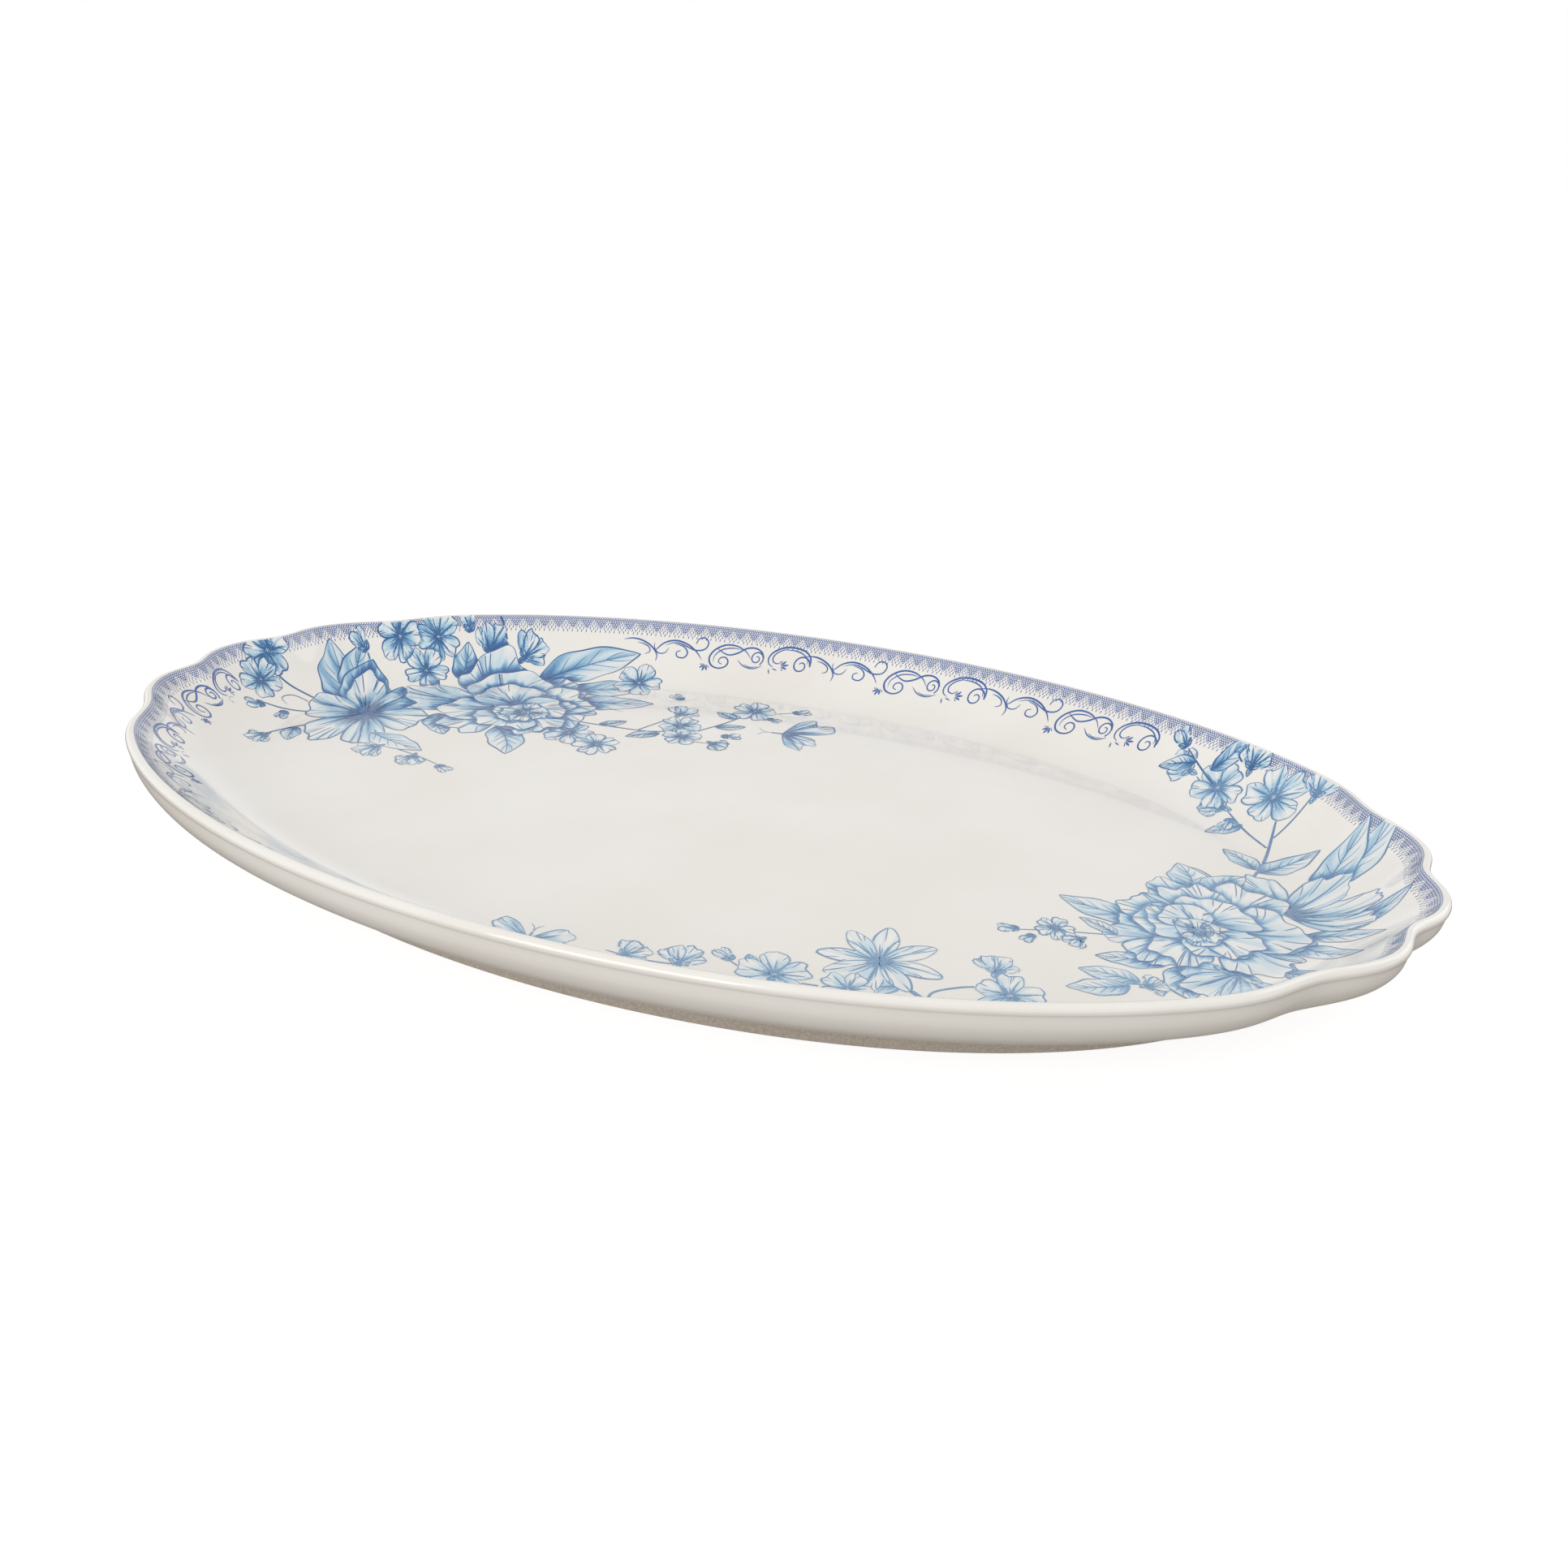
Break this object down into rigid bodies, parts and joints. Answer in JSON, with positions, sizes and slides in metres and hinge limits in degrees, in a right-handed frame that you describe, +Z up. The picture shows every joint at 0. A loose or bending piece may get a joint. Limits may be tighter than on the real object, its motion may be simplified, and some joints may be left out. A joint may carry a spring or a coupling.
{
  "type": "serving platter",
  "caption": "Oval china serving platter with lobed ends, a rolled rim, a bare foot ring, a blue lace border and printed flower sprays.",
  "frame": {"origin": "on the table plane, under the middle of the platter", "axes": "+X along the length, +Y across the width, +Z up"},
  "size_m": [0.4098, 0.295, 0.0275],
  "materials": {
    "glaze": "high-gloss clear glaze over warm white clay",
    "bare_clay": "bare fired clay, dry and matt",
    "print_navy": "navy line print under a gloss glaze",
    "print_blue": "blue washes and line print under a gloss glaze"
  },
  "bodies": {
    "root": {"platter_body": "glaze", "foot_ring": "bare_clay", "lace_border": "print_navy", "scroll_far": "print_navy", "scroll_left": "print_navy", "spray_left": "print_blue", "sprig_left": "print_blue", "branch_far": "print_blue", "blossom_far": "print_blue", "butterfly_far": "print_blue", "spray_right": "print_blue", "branch_right": "print_blue", "sprig_right": "print_blue", "clematis_near": "print_blue", "garland_near": "print_blue", "blossom_near": "print_blue", "leaf_near": "print_blue", "butterfly_near": "print_blue"}
  },
  "joints": []
}
